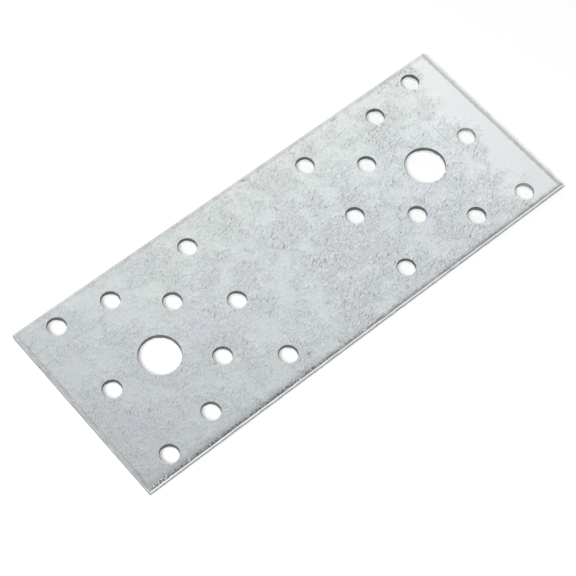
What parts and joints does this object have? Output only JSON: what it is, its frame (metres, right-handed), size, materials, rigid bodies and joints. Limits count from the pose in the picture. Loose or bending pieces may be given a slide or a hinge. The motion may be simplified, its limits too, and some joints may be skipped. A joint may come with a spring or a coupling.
{
  "type": "mending plate",
  "caption": "Flat perforated steel mending plate with a bolt hole near each end on the centre line and rows of nail holes around them, sheared and punched from galvanised sheet.",
  "frame": {"origin": "centre of the back face, which the plate lies on", "axes": "+X along the plate, +Y across it, +Z out of the front face, the side that the edges roll over to"},
  "size_m": [0.14, 0.055, 0.0025],
  "materials": {
    "galvanised_steel": "hot-dip galvanised sheet, smooth matt to satin zinc with faint mottling"
  },
  "bodies": {
    "root": {"plate": "galvanised_steel"}
  },
  "joints": []
}
